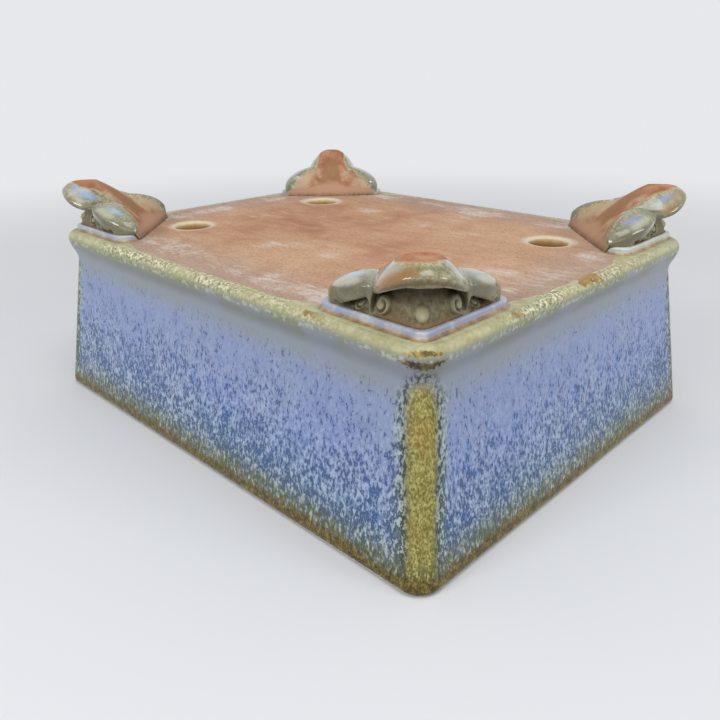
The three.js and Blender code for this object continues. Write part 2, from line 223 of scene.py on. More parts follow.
class Tone:
    """A socket of a finish. Arithmetic on it adds Math nodes, and node() adds any other node.

    Colours are given as screen values of 0 to 255.
    """

    def __init__(self, tree, socket=None):
        self.tree = tree
        self.socket = socket

    def node(self, kind, settings=None, sockets=None, output=0):
        made = self.tree.nodes.new(kind)
        for name, value in (settings or {}).items():
            setattr(made, name, value)
        for place, value in (sockets or {}).items():
            if isinstance(value, Tone):
                self.tree.links.new(value.socket, made.inputs[place])
            else:
                made.inputs[place].default_value = value
        return Tone(self.tree, made.outputs[output])

    def maths(self, operation, first, second):
        return self.node("ShaderNodeMath", {"operation": operation}, {0: first, 1: second})

    def __add__(self, other):
        return self.maths("ADD", self, other)

    def __radd__(self, other):
        return self.maths("ADD", other, self)

    def __sub__(self, other):
        return self.maths("SUBTRACT", self, other)

    def __rsub__(self, other):
        return self.maths("SUBTRACT", other, self)

    def __mul__(self, other):
        return self.maths("MULTIPLY", self, other)

    def __rmul__(self, other):
        return self.maths("MULTIPLY", other, self)

    def __truediv__(self, other):
        return self.maths("DIVIDE", self, other)

    def __abs__(self):
        return self.node("ShaderNodeMath", {"operation": "ABSOLUTE"}, {0: self})

    def least(self, other):
        return self.maths("MINIMUM", self, other)

    def most(self, other):
        return self.maths("MAXIMUM", self, other)

    def between(self, low, high):
        """0 at low and 1 at high, eased; it falls where high is below low."""
        ends = {1: low, 2: high} if high > low else {1: high, 2: low}
        easing = {"interpolation_type": "SMOOTHSTEP"}
        eased = self.node("ShaderNodeMapRange", easing, {0: self, **ends})
        return eased if high > low else 1 - eased

    def axis(self, name):
        """One coordinate of a vector."""
        return self.node("ShaderNodeSeparateXYZ", {}, {0: self}, name)

    def scaled(self, *amounts):
        """A vector with each coordinate multiplied by its own amount."""
        return self.node("ShaderNodeVectorMath", {"operation": "MULTIPLY"}, {0: self, 1: amounts})

    def stored(self, name):
        """The number that paint_values stored at each point."""
        return self.node("ShaderNodeAttribute", {"attribute_name": name}, {}, "Fac")

    def noise(self, scale, detail=2.0, roughness=0.5, distortion=0.0):
        """A cloudy pattern about 0.5, finer as its scale grows."""
        values = {"Vector": self, "Scale": scale, "Detail": detail,
                  "Roughness": roughness, "Distortion": distortion}
        return self.node("ShaderNodeTexNoise", {}, values)

    def ramp(self, *stops):
        """A colour for each stop of this value, blended between them."""
        made = self.node("ShaderNodeValToRGB", {}, {0: self})
        elements = made.socket.node.color_ramp.elements
        for place, _ in stops[2:]:
            elements.new(place)
        for element, (place, colour) in zip(elements, sorted(stops)):
            element.position = place
            element.color = shade(*colour)
        return made

    def mixed(self, colour, share):
        """This colour with a share of another laid over it."""
        other = colour if isinstance(colour, Tone) else shade(*colour)
        return self.node("ShaderNodeMix", {"data_type": "RGBA"}, {0: share, 6: self, 7: other}, 2)

    def to_output(self, kind="ShaderNodeOutputMaterial"):
        """Makes this shader the one that its material or world shows."""
        output = self.tree.nodes.new(kind)
        self.tree.links.new(self.socket, output.inputs["Surface"])


def new_finish(name):
    """An empty material, and a tone of the piece's own coordinates in metres."""
    material = bpy.data.materials.new(name)
    material.use_nodes = True
    material.node_tree.nodes.clear()
    place = Tone(material.node_tree).node("ShaderNodeTexCoord", {}, {}, "Object")
    return material, place


def fire_finish(place, colour, roughness, relief, depth, specular=0.5, coat=0.0):
    """Joins a finish's colour, roughness and relief, of a depth in metres, to its surface."""
    bump = {"Strength": 1.0, "Distance": depth, "Height": relief}
    normal = place.node("ShaderNodeBump", {}, bump)
    values = {"Base Color": colour, "Roughness": roughness, "Normal": normal,
              "Specular IOR Level": specular,
              "Coat Weight": coat, "Coat Roughness": COAT_ROUGHNESS}
    place.node("ShaderNodeBsdfPrincipled", {}, values).to_output()


def edge_glaze(place, calm):
    """The thin glaze on the flange: pale crusts and olive pits, or even olive cream where calm."""
    crust = place.noise(900, 4, 0.68).ramp((0.38, (118, 117, 80)), (0.5, (182, 179, 142)),
                                           (0.62, (236, 232, 204)))
    even = place.noise(260, 3, 0.6).ramp((0.36, (168, 164, 122)), (0.64, (196, 193, 152)))
    return crust.mixed(even, (place.noise(45, 2).between(0.44, 0.62) * 0.65).most(calm * 0.9))


def edge_chips(place, from_arris):
    """Where the edge glaze has chipped: ragged patches, fewer away from the flange's inner arris.

    A cloud, less 0.03 for each millimetre from the arris, is cut off sharply.
    """
    return (place.noise(85, 4, 0.62) - 0.03 * from_arris).between(0.6, 0.62)


def wall_glaze():
    """Lilac-blue glaze with slate specks that crowd towards the rim, olive where it runs thin.

    up_wall is 0 at the moulding and 1 at the rim; the other places are in millimetres.
    """
    material, place = new_finish("wall_glaze")
    height = place.axis("Z")
    up_wall = (height - moulding_top) / (rim_top - moulding_top)
    over_flange = (height - flange_widest) / MM
    from_corner = place.stored("from_corner") / MM
    inside = place.stored("inside")
    drawn = place.scaled(1, 1, 0.55)
    cloud = place.noise(40, 3)
    run = drawn.noise(250, 3, 0.6)
    fleck = drawn.noise(960, 3, 0.65)
    grain = drawn.noise(1900, 2, 0.6)
    mottle = place.noise(520, 4, 0.65)
    ragged = 6 * (fleck - 0.5) + 3 * (grain - 0.5)

    # The wall's field: a lilac ground with pale haze, blue pools and dark specks.
    border = (from_corner + 4 * (run - 0.5)).between(10.5, 6)
    crowd = (up_wall + 0.55 * (cloud - 0.5)).between(0.0, 0.72)
    texture = fleck + 0.35 * (grain - 0.5) + 0.3 * (run - 0.5)
    peak = texture - 0.64 + 0.125 * crowd + 0.06 * border
    specks = peak.between(0.0, 0.028) * (1 - 0.45 * peak.between(0.1, 0.15))
    specks = specks * up_wall.between(-0.06, 0.06)
    ground = up_wall.ramp((0.0, (148, 154, 162)), (0.13, (142, 155, 193)),
                          (0.45, (134, 151, 197)), (0.7, (113, 137, 170)), (0.86, (112, 130, 134)))
    dark = up_wall.ramp((0.0, (80, 92, 138)), (0.4, (64, 84, 138)),
                        (0.7, (54, 82, 120)), (0.9, (72, 88, 78)))
    pale = up_wall.ramp((0.2, (168, 182, 220)), (0.7, (174, 190, 212)), (0.9, (192, 198, 172)))
    glaze = ground.mixed((144, 157, 184), cloud.between(0.45, 0.62) * 0.5)
    runs = run.between(0.5, 0.7) * up_wall.between(0.05, 0.2)
    glaze = glaze.mixed((112, 134, 186), runs * 0.5)
    glaze = glaze.mixed((146, 160, 158), border * 0.7)
    pale = pale.mixed((186, 198, 196), border)
    glaze = glaze.mixed(pale, texture.between(0.47, 0.38) * (0.25 + 0.65 * crowd.most(border)))
    pool = drawn.noise(165, 2).between(0.58, 0.66)
    pool = pool * up_wall.between(0.15, 0.45) * up_wall.between(0.95, 0.8)
    glaze = glaze.mixed((78, 128, 190), pool * texture.between(0.4, 0.55) * 0.6)
    glaze = glaze.mixed(dark.mixed((64, 78, 76), border), specks * 0.92)

    # The moulding: a grey cove, partly painted shade, a pale line above the flange, the flange's
    # chipped crust.
    # Partly painted shade: the cove is darker and greyer low down than near the wall.
    cove = (over_flange / 11).ramp((0.1, (138, 142, 112)), (0.4, (132, 139, 132)),
                                   (0.8, (150, 158, 166)))
    cove = cove.mixed((150, 157, 178), cloud.between(0.46, 0.6) * 0.5)
    glaze = glaze.mixed(cove, up_wall.between(0.08, -0.05))
    flange = (over_flange + 3 * (mottle - 0.5)).between(1.4, -0.4)
    line = over_flange.between(0.0, 0.9) * over_flange.between(3.0, 1.6)
    glaze = glaze.mixed((206, 208, 196), line * mottle.between(0.48, 0.6) * 0.6)
    calm = from_corner.between(46, 24)
    edge = edge_glaze(place, calm)
    edge = edge.mixed((146, 148, 116), over_flange.between(-1.4, 1.0) * 0.6)
    glaze = glaze.mixed(edge, flange)
    chip = edge_chips(place, over_flange + FLANGE_ROUND / MM)
    chip = chip * over_flange.between(0.5, -0.5) * (1 - calm)
    ochre = mottle.ramp((0.4, (132, 104, 50)), (0.6, (182, 150, 88)))
    glaze = glaze.mixed(ochre, chip)

    # The corners: an olive stripe with a dark border that arches over at its foot, and below it
    # a brown spot in the cove and a golden patch on the flange.
    across = from_corner + ragged
    below_arch = 0.55 * ((moulding_top + STRIPE_ARCH - height) / MM).most(0)
    from_stripe = across * across + below_arch * below_arch
    seam = from_stripe.between(14, 24) * from_stripe.between(54, 30) * fleck.between(0.46, 0.56)
    glaze = glaze.mixed((54, 62, 48), seam * 0.85)
    olive = (0.35 * mottle + 0.65 * grain).ramp((0.4, (108, 101, 44)), (0.5, (144, 136, 71)),
                                                (0.6, (184, 176, 113)))
    warm = from_stripe.between(14, 0) * place.noise(95, 2).between(0.42, 0.64)
    olive = olive.mixed((156, 124, 60), warm * 0.4)
    glaze = glaze.mixed(olive, from_stripe.between(30, 7))
    over_spot = (over_flange - 3.0 + 0.07 * across * across + 0.35 * ragged) / 1.3
    spot = (across * across / 18 + over_spot * over_spot).between(1.3, 0.4)
    brown = mottle.ramp((0.42, (54, 40, 8)), (0.6, (118, 108, 50)))
    glaze = glaze.mixed(brown, spot * 0.95)
    over_patch = (over_flange + 0.3 + 0.35 * ragged) / 0.7
    patch = (across * across / 12 + over_patch * over_patch).between(1.2, 0.4)
    amber = mottle.ramp((0.42, (88, 70, 22)), (0.54, (178, 146, 64)))
    glaze = glaze.mixed(amber, patch * 0.9)

    # The rim: dark and pale streaks that run together into a band of dark gold, dark partly as
    # painted shade.
    streak = place.scaled(1, 1, 0.3).noise(900, 3, 0.65)
    to_rim = (rim_top - height) / MM + 5 * (streak - 0.5) + 4 * (cloud - 0.5)
    low_run = to_rim.between(13, 5)
    glaze = glaze.mixed((90, 92, 50), low_run * streak.between(0.58, 0.46) * 0.85)
    pale_run = low_run * (0.5 * streak + 0.5 * grain).between(0.54, 0.62)
    glaze = glaze.mixed((186, 188, 156), pale_run * 0.4)
    # Partly painted shade: the rim's gold band is made darker than its glaze, where it meets the
    # floor.
    gold = (0.5 * mottle + 0.5 * grain).ramp((0.4, (62, 52, 16)), (0.5, (94, 81, 30)),
                                             (0.6, (138, 122, 62)))
    glaze = glaze.mixed(gold, to_rim.between(6.8, 3.8))

    # The inside: bare clay below a wavy edge.
    clay = place.noise(160, 4, 0.6).ramp((0.3, (150, 112, 84)), (0.7, (176, 138, 108)))
    wavy = height + 7 * MM * (cloud - 0.5)
    bare = inside * wavy.between(rim_top - INNER_GLAZE, rim_top - INNER_GLAZE_END)
    colour = glaze.mixed(clay, bare)
    roughness = 0.34 + 0.1 * specks + 0.08 * flange + 0.5 * bare
    relief = 0.4 * (1 - specks) + 0.35 * cloud + 0.3 * mottle
    fire_finish(place, colour, roughness, relief, 0.12 * MM, specular=0.3)
    return material


skin, skin_along = body_skin()
body = surface_mesh("glazed_body", skin, wrap_rows=True)
paint_values(body, "from_corner", skin_along)
offsets = body_profile()[0]
paint_values(body, "inside", np.repeat(smooth(*INNER_SKIN, offsets), skin.shape[1]))
sides = ("front", "back", "left", "right")
stand_piece(body, wall_glaze(), "wall_glaze",
            *[f"{side}_wall" for side in sides], *[f"{side}_moulding" for side in sides])

# Floor slab: the flat base that the walls stand on, with four drain holes cut while the clay was
# soft. It is left unglazed and wiped with a sponge, so pale slip lies in streaks over the
# red-brown stoneware.
DRAIN_RADIUS = 7.25 * MM
DRAIN_LIP = 2 * MM
DRAIN_LIP_RISE = 1.2 * MM
DRAIN_FROM_FLANGE = np.array([36.5, 42.5]) * MM
RAYS_A_SIDE = 40
SPREAD_ROWS = 24
SPREAD_POWER = 1.5
WELD_REACH = 0.005 * MM
drain_place = flange_half - DRAIN_FROM_FLANGE


def quarter_outline(turn, corner_at, corner_radius):
    """How far a ray from the drain hole runs to the middle lines, the sides or the round corner."""
    step = heading(turn)
    wall = np.where(step > 0, corner_at - drain_place, -drain_place)
    reach = (wall / np.where(np.abs(step) < 1e-9, 1e-9, step)).min(-1)
    to_centre = corner_at - corner_radius - drain_place
    along = step @ to_centre
    beside = along**2 - to_centre @ to_centre + corner_radius**2
    arc = along + np.sqrt(np.maximum(beside, 0))
    past = np.all(drain_place + step * reach[:, None] > corner_at - corner_radius, -1)
    return np.where(past, arc, reach)


def floor_quarter():
    """A quarter of the slab round its drain hole: rays fan from the hole, each with one section.

    The section comes in over the underside, rounds into the hole, climbs its wall and goes out
    over the top.
    """
    under_corner = flange_half - FLANGE_ROUND
    top_corner = rim_half - wall_lean * (rim_start - floor_top) - WALL_THICKNESS / 2
    ends = np.array([[0, 0], [under_corner[0], 0], under_corner, [0, under_corner[1]], [0, 0]])
    ends = ends - drain_place
    end_turns = np.unwrap(np.arctan2(ends[:, 1], ends[:, 0]))
    turn = np.concatenate([np.linspace(first, last, RAYS_A_SIDE + 1)[:-1]
                           for first, last in zip(end_turns, end_turns[1:])])
    under_edge = quarter_outline(turn, under_corner, CORNER_RADIUS + flange_reach - FLANGE_ROUND)
    top_edge = quarter_outline(turn, top_corner, INNER_RADIUS)
    out = np.linspace(1, 0, SPREAD_ROWS + 1)[:-1] ** SPREAD_POWER
    lip_edge = DRAIN_RADIUS + DRAIN_LIP
    under_rows = lip_edge + out[:, None] * (under_edge - lip_edge)
    lip_reach = DRAIN_RADIUS + DRAIN_LIP * (1 - np.sin(quarter_bend))
    lip_rows = np.tile(lip_reach[:, None], (1, len(turn)))
    top_rows = DRAIN_RADIUS + out[::-1, None] * (top_edge - DRAIN_RADIUS)
    reach = np.concatenate([under_rows, lip_rows, top_rows])
    height = np.concatenate([np.full(len(out), underside),
                             underside + DRAIN_LIP_RISE * (1 - np.cos(quarter_bend)),
                             np.full(len(out), floor_top)])
    return lifted(drain_place + reach[..., None] * heading(turn), height)


def floor_mesh():
    """Four mirrored quarters, welded along the middle lines and closed round the hidden edge."""
    whole = bmesh.new()
    quarter = floor_quarter()
    for sx, sy in ((1, 1), (-1, 1), (-1, -1), (1, -1)):
        part = surface_mesh("quarter", quarter * (sx, sy, 1), turned=sx * sy > 0)
        whole.from_mesh(part)
        bpy.data.meshes.remove(part)
    bmesh.ops.remove_doubles(whole, verts=whole.verts, dist=WELD_REACH)
    bmesh.ops.bridge_loops(whole, edges=[edge for edge in whole.edges if edge.is_boundary])
    mesh = bpy.data.meshes.new("clay_floor")
    whole.to_mesh(mesh)
    whole.free()
    mesh.shade_smooth()
    return mesh


def floor_clay():
    """Fired stoneware, pinkish tan and greyer towards its edges, with pale slip wiped along it.

    A margin under the flange's edge, wider outside the plinths, carries the edge glaze. Places
    are in millimetres.
    """
    material, place = new_finish("bare_clay")
    cloud = place.noise(26, 4, 0.6)
    grain = place.noise(900, 2, 0.7)
    fold = place.node("ShaderNodeVectorMath", {"operation": "ABSOLUTE"}, {0: place})
    to_hole = {0: fold.scaled(1, 1, 0), 1: (*drain_place, 0)}
    from_hole = fold.node("ShaderNodeVectorMath", {"operation": "DISTANCE"}, to_hole, "Value") / MM
    to_end = (flange_half[0] - fold.axis("X")) / MM
    to_side = (flange_half[1] - fold.axis("Y")) / MM
    to_edge = to_end.least(to_side)
    depth = (place.axis("Z") - underside) / MM

    # The clay: a clouded ground under wiped slip and chalky powder.
    ground = cloud.ramp((0.34, (174, 124, 96)), (0.5, (196, 152, 119)), (0.66, (206, 168, 135)))
    grey = (to_edge + 18 * (cloud - 0.5)).between(38, 5)
    ground = ground.mixed((178, 157, 143), grey * 0.8)
    wiped = place.scaled(0.45, 1.3, 1).noise(170, 4, 0.68, 0.8)
    ground = ground.mixed((208, 180, 156), wiped.between(0.5, 0.68) * 0.3)
    pits = (0.75 * grain + 0.25 * wiped).between(0.5, 0.4)
    ground = ground.mixed((152, 112, 90), pits * 0.45)
    dust = place.noise(46, 3, 0.55)
    powder = place.scaled(0.7, 1.3, 1).noise(650, 3, 0.72)
    band = to_edge.between(5, 11) * to_edge.between(26, 15)
    chalk = dust + 0.17 * band + 0.3 * (powder - 0.5) + 0.5 * (wiped - 0.5)
    chalk = chalk.between(0.6, 0.86) * (0.4 + 0.6 * powder.between(0.4, 0.6))
    colour = ground.mixed((224, 216, 204), chalk * 0.8)

    # The drain holes: a pale halo, and a clay bore with painted light at its top and painted shade
    # deeper in.
    halo = (from_hole + 6 * (dust - 0.5) + 4 * (powder - 0.5)).between(11.2, 8.8)
    colour = colour.mixed((222, 213, 196), halo * 0.65)
    # Painted light and shade: pale at the top of the bore, darkening with depth.
    bore = ((depth + 2 * (powder - 0.5)) / 6).ramp((0.1, (224, 208, 176)), (0.36, (186, 141, 82)),
                                                   (0.75, (138, 96, 46)))
    colour = colour.mixed(bore, from_hole.between(9.0, 8.2) * depth.between(9.0, 7.0))

    # The glazed margin, with an uneven edge and the chips that it shares with the flange.
    near_foot = (to_end + to_side).between(64, 54)
    chewed = to_edge + 2.2 * (place.noise(140, 3, 0.6) - 0.5) - 3.4 * near_foot
    margin = (chewed + 1.2 * (powder - 0.5)).between(4.4, 3.6)
    colour = colour.mixed(edge_glaze(place, near_foot), margin)
    chip = edge_chips(place, abs(to_edge - 3.2)) * to_edge.between(5.2, 4.4) * (1 - near_foot)
    colour = colour.mixed((168, 136, 74), chip)
    roughness = 0.8 + 0.12 * (grain - 0.5) - 0.4 * margin
    fire_finish(place, colour, roughness, 0.6 * grain + 0.5 * wiped, 0.1 * MM, specular=0.2)
    return material


stand_piece(floor_mesh(), floor_clay(), "bare_clay", "floor_slab")

# Plinths: thin clay plates pressed on at the corners, each the bed of a foot. The glaze lies thick
# and pale on the ledge that shows and runs brown into the joint round it.
PLINTH_SETBACK = 5.2 * MM
PLINTH_END = 7.2 * MM
PLINTH_APEX_ROUND = 3 * MM
PLINTH_END_ROUND = 0.66 * PLINTH_END
PLINTH_BACK_ROUND = 0.18 * PLINTH_END
PLINTH_EDGE = 0.8 * MM
JOINT_FILLET = 1.1 * MM
FOOT_DEPTH = 40 * MM
DIAGONAL = np.sqrt(0.5)
ROUND_POINTS = 17
STRAIGHT_POINTS = 26
FACE_SHARES = np.array([0.6, 0.2, 0])
BED_SHARES = np.array([0, 0.5])
plinth_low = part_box("back_right_plinth")[0].z
corner_names = {"front_left": (-1, -1), "front_right": (1, -1),
                "back_right": (1, 1), "back_left": (-1, 1)}


def plan_point(p, q):
    """A place in a corner's plan from its distances to the flange edges: x outward, y across."""
    return np.stack([-(p + q) * DIAGONAL, (p - q) * DIAGONAL], -1)


def plinth_outline():
    """Two legs along the sides, an apex at the corner and a back edge square to the diagonal.

    Each corner is a quadratic curve between points cut back along its two edges.
    """
    back = PLINTH_SETBACK + PLINTH_END
    leg = FOOT_DEPTH / DIAGONAL - back
    p = np.array([PLINTH_SETBACK, leg, leg, back, PLINTH_SETBACK])
    q = np.array([PLINTH_SETBACK, PLINTH_SETBACK, back, leg, leg])
    rounding = np.array([PLINTH_APEX_ROUND, PLINTH_END_ROUND, PLINTH_BACK_ROUND,
                         PLINTH_BACK_ROUND, PLINTH_END_ROUND])
    at = plan_point(p, q)
    unit = np.roll(at, -1, 0) - at
    unit /= np.linalg.norm(unit, axis=-1, keepdims=True)
    enter = at - np.roll(unit, 1, 0) * rounding[:, None]
    leave = at + unit * rounding[:, None]
    t = np.linspace(0, 1, ROUND_POINTS)[None, :, None]
    curves = enter[:, None] * (1 - t) ** 2 + 2 * at[:, None] * t * (1 - t) + leave[:, None] * t**2
    s = np.linspace(0, 1, STRAIGHT_POINTS)[None, 1:-1, None]
    straight = leave[:, None] + (np.roll(enter, -1, 0) - leave)[:, None] * s
    return np.concatenate([curves, straight], 1).reshape(-1, 2)


def plinth_plate():
    """The plate's edge section carried round its outline: a fillet, a side and a rounded arris.

    Its face, and its bed against the base, close to a point in the middle.
    """
    outline = plinth_outline()
    ahead = np.roll(outline, -1, 0) - np.roll(outline, 1, 0)
    outward = np.stack([ahead[:, 1], -ahead[:, 0]], -1)
    outward /= np.linalg.norm(outward, axis=-1, keepdims=True)
    thickness = underside - plinth_low
    spread = np.concatenate([JOINT_FILLET * (1 - np.sin(quarter_bend)),
                             PLINTH_EDGE * (np.cos(quarter_bend) - 1)])
    drop = np.concatenate([JOINT_FILLET * (1 - np.cos(quarter_bend)),
                           thickness - PLINTH_EDGE * (1 - np.sin(quarter_bend))])
    rows = outline + outward * spread[:, None, None]
    middle = outline.mean(0)
    face = middle + (rows[-1] - middle) * FACE_SHARES[:, None, None]
    bed = middle + (rows[0] - middle) * BED_SHARES[:, None, None]
    height = np.concatenate([0 * BED_SHARES, -drop, np.full(len(FACE_SHARES), -thickness)])
    return lifted(np.concatenate([bed, rows, face]), height)


def at_corner(points, sx, sy):
    """Local points turned so that the diagonal runs out of the flange's corner, under the body."""
    turn = np.arctan2(sy, sx)
    x = points[..., 0] * np.cos(turn) - points[..., 1] * np.sin(turn)
    y = points[..., 0] * np.sin(turn) + points[..., 1] * np.cos(turn)
    z = points[..., 2] + underside
    return np.stack([x + sx * flange_half[0], y + sy * flange_half[1], z], -1)


def weld(mesh):
    """Joins points that lie together, as in the middle of a plinth and at a foot's pinched ends."""
    whole = bmesh.new()
    whole.from_mesh(mesh)
    bmesh.ops.remove_doubles(whole, verts=whole.verts, dist=WELD_REACH)
    whole.to_mesh(mesh)
    whole.free()


def plinth_glaze():
    """Thick pale glaze on the ledge, brown and thin in the joint round it."""
    material, place = new_finish("plinth_glaze")
    above = (underside - place.axis("Z")) / MM
    mottle = place.noise(260, 3, 0.6)
    glaze = place.noise(30, 2).ramp((0.4, (166, 172, 194)), (0.6, (206, 208, 196)))
    glaze = glaze.mixed((222, 224, 216), mottle.between(0.48, 0.66) * 0.4)
    joint = (above + 0.7 * (mottle - 0.5)).between(1.1, 0.35)
    brown = mottle.ramp((0.4, (134, 101, 46)), (0.6, (178, 145, 84)))
    colour = glaze.mixed(brown, joint * 0.9)
    fire_finish(place, colour, 0.24 + 0.2 * joint, mottle, 0.05 * MM, coat=0.3)
    return material


plinth_finish = plinth_glaze()
plate = plinth_plate()
for corner, (sx, sy) in corner_names.items():
    mesh = surface_mesh(f"{corner}_plinth_plate", at_corner(plate, sx, sy), turned=True)
    weld(mesh)
    stand_piece(mesh, plinth_finish, "foot_glaze", f"{corner}_plinth")

# Cloud feet: stoneware press-moulded in a carved mould and stuck on the plinths. Each has a middle
# lobe and two side lobes, hollow mouths under their brows, scrolls beside the ribs and a small
# boss at the corner. The fronts are glazed; the soles and sloping backs are wiped bare.
FAN_BEHIND = 25 * MM
RIDGE_SETBACK = 13 * MM
RIDGE_BEHIND_TOE = 11 * MM
RIDGE_FURTHEST = 0.75
RIDGE_BLEND = 8
CORNER_SOFTNESS = 1.5
TOE_SETBACK = 5.8 * MM
MIDDLE_RADIUS = 12 * MM
MIDDLE_CROWN = 0.6 * MM
MIDDLE_SPREAD = 19.3
MIDDLE_DOME = 0.85
MIDDLE_TIP = 0.72
SIDE_FROM_CORNER = 30 * MM
SIDE_SETBACK = 4.2 * MM
SIDE_LENGTH = 29.2 * MM
SIDE_WIDTH = 17.6 * MM
SIDE_HEIGHT = 10.8 * MM
SIDE_ARCH = 2.2
END_TIP = 0.35
LOBE_SQUARENESS = 2.5
LIP_SWELL = 0.45 * MM
LIP_ROW = 1.86
LIP_WIDTH = 0.16
SKIRT_SPREAD = 1.3 * MM
MOUTH_SETBACK = 6.2 * MM
MOUTH_DEPTH = 3.2 * MM
MOUTH_EDGE = 1.4
MOUTH_FACE = (2.3, 2.5)
MIDDLE_MOUTH_END = 15.2
MIDDLE_BROW = 11.4 * MM
BROW_FALL = 4.2 * MM
BROW_UNDER_TIP = 0.93
BROW_OVERHANG = 1.5 * MM
BROW_LIFT = 0.25 * MM
SIDE_MOUTH_START = 17.2
SIDE_MOUTH_END = 33
SIDE_BROW = 5.0 * MM
LEAST_BROW = 1.5 * MM
RIB = (MIDDLE_MOUTH_END + SIDE_MOUTH_START) / 2
NOTCH = 14.7
NOTCH_WIDTH = 0.7
SCROLL_DEPTH = 1.9 * MM
SCROLL_TURNS = 1.35
SCROLL_GROOVE = 0.45
SCROLL_DOME = (1.0, 0.65)
SCROLL_EYE = (0.1, 0.35)
MIDDLE_SCROLL_RADIUS = 3.1 * MM
SIDE_SCROLL_RADIUS = 2.4 * MM
MIDDLE_SCROLL = np.array([20.4, 3.7]) * MM
SIDE_SCROLL = np.array([28.6, 2.6]) * MM
BOSS_RADIUS = 2.0 * MM
BOSS_HEIGHT = 3.3 * MM
BOSS_STAND = 0.8 * BOSS_RADIUS
BOSS_DOME = (1.25, 0.2)
SLIP_SEAM = 0.4 * MM
PRESS_WAVE = 0.14 * MM
PRESS_RATE = 260
PRESS_STARTS = np.array([1.1, 2.3, 0.4])
FAN_RAYS = 481
FINE_RAYS = 4001
BACK_ROWS = 24
FRONT_ROWS = 56
MOUTH_ROWS = 101
foot_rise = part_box("back_right_foot")[1].z
fan_point = (FOOT_DEPTH + FAN_BEHIND) * DIAGONAL
side_centre = np.array([SIDE_FROM_CORNER, SIDE_SETBACK + SIDE_WIDTH / 2])
side_semi = np.array([SIDE_LENGTH, SIDE_WIDTH]) / 2


def fan_limit():
    """The angle in degrees off the diagonal where the side lobe's ellipse meets the back edge."""
    lean = np.arctan2(side_semi[1], side_semi[0])
    t = lean - np.arccos((FOOT_DEPTH / DIAGONAL - side_centre.sum()) / np.hypot(*side_semi))
    end = side_centre + side_semi * (np.cos(t), np.sin(t))
    return np.degrees(np.arctan2((end[0] - end[1]) * DIAGONAL, FAN_BEHIND))


def ray_through_ellipse(turned, centre, semi):
    """How far rays of the fan run to leave an ellipse: a quadratic's larger root, or 0."""
    turn = np.radians(turned) - np.pi / 4
    step = np.stack([np.sin(turn), -np.cos(turn)], -1) / semi
    start = (fan_point - np.asarray(centre)) / semi
    a = (step * step).sum(-1)
    b = step @ start
    inside = b * b - a * (start @ start - 1)
    return np.where(inside > 0, (np.sqrt(np.maximum(inside, 0)) - b) / a, 0)


def lobe_reach(turned):
    """How far the lobes reach from the fan's point: a circle for the middle, ellipses beside it."""
    middle = (TOE_SETBACK + MIDDLE_RADIUS) * DIAGONAL
    return np.maximum(ray_through_ellipse(turned, (middle, middle), MIDDLE_RADIUS),
                      ray_through_ellipse(turned, side_centre, side_semi))


def ridge_height(turned):
    """The ridge over the lobes: a dome in the middle and a flatter arch that ends at the sides.

    The two run together as the eighth root of the sum of their eighth powers.
    """
    dome = np.maximum(0, 1 - (turned / MIDDLE_SPREAD) ** 2) ** MIDDLE_DOME
    middle = (foot_rise + MIDDLE_CROWN) * dome
    side = SIDE_HEIGHT * np.sqrt(np.maximum(0, 1 - (turned / fan_limit()) ** SIDE_ARCH))
    return (middle**RIDGE_BLEND + side**RIDGE_BLEND) ** (1 / RIDGE_BLEND)


def brow_height(turned):
    """The brow's lower edge: it falls as the angle's fourth power, and evenly past the rib."""
    middle = MIDDLE_BROW - BROW_FALL * (turned / MIDDLE_MOUTH_END) ** 4
    to_end = (SIDE_MOUTH_END - turned) / (SIDE_MOUTH_END - SIDE_MOUTH_START)
    return np.where(turned < RIB, middle, SIDE_BROW * np.clip(to_end, 0, 1))


def even_angles():
    """Angles across the fan, spaced evenly along the lobes' outline."""
    fine = np.linspace(-fan_limit(), fan_limit(), FINE_RAYS)
    reach = lobe_reach(np.abs(fine))
    step = np.hypot(np.diff(reach), reach[1:] * np.radians(np.diff(fine)))
    length = np.concatenate([[0], np.cumsum(step)])
    return np.interp(np.linspace(0, length[-1], FAN_RAYS), length, fine)


def spline(knots, rows):
    """A uniform Catmull-Rom curve from the second knot to the last but one."""
    place = np.linspace(0, len(knots) - 3, rows)
    first = np.minimum(place.astype(int), len(knots) - 4)
    t = (place - first)[:, None, None]
    p0, p1, p2, p3 = (knots[first + k] for k in range(4))
    bend = (p3 - p0) + 3 * (p1 - p2)
    ease = 2 * p0 - 5 * p1 + 4 * p2 - p3
    return p1 + 0.5 * t * ((p2 - p0) + t * (ease + t * bend))


def blend(first, second, share):
    """The first value at a share of 0 and the second at 1."""
    return first + (second - first) * share


def bell(value, middle, width):
    """1 at the middle, falling off on both sides as exp(-d^2) of the distance in widths."""
    return np.exp(-(((value - middle) / width) ** 2))


def over_lobe(back, crest, reach, height, tip):
    """A lobe from the base over its ridge to its tip, and how far along each row lies.

    The back, rows 0 to 1, climbs midway between a straight line and a quarter sine. The front,
    rows 1 to 2, is a quarter superellipse. A skirt in the first row spreads on the base.
    """
    climb = np.linspace(0, 1, BACK_ROWS)[:-1, None]
    sweep = np.linspace(0, 1, FRONT_ROWS)[:, None]
    rise = height * (climb + np.sin(climb * np.pi / 2)) / 2
    slope = np.stack([blend(back, crest, climb), rise], -1)
    out = np.sin(sweep * np.pi / 2) ** (2 / LOBE_SQUARENESS)
    up = np.cos(sweep * np.pi / 2).clip(0) ** (2 / LOBE_SQUARENESS)
    front = np.stack([blend(crest, reach, out), blend(tip, height, up)], -1)
    skirt = np.stack([back - SKIRT_SPREAD, np.full_like(back, foot_rise - underside)], -1)[None]
    return np.concatenate([skirt, slope, front]), np.concatenate([[[0]], climb, 1 + sweep])


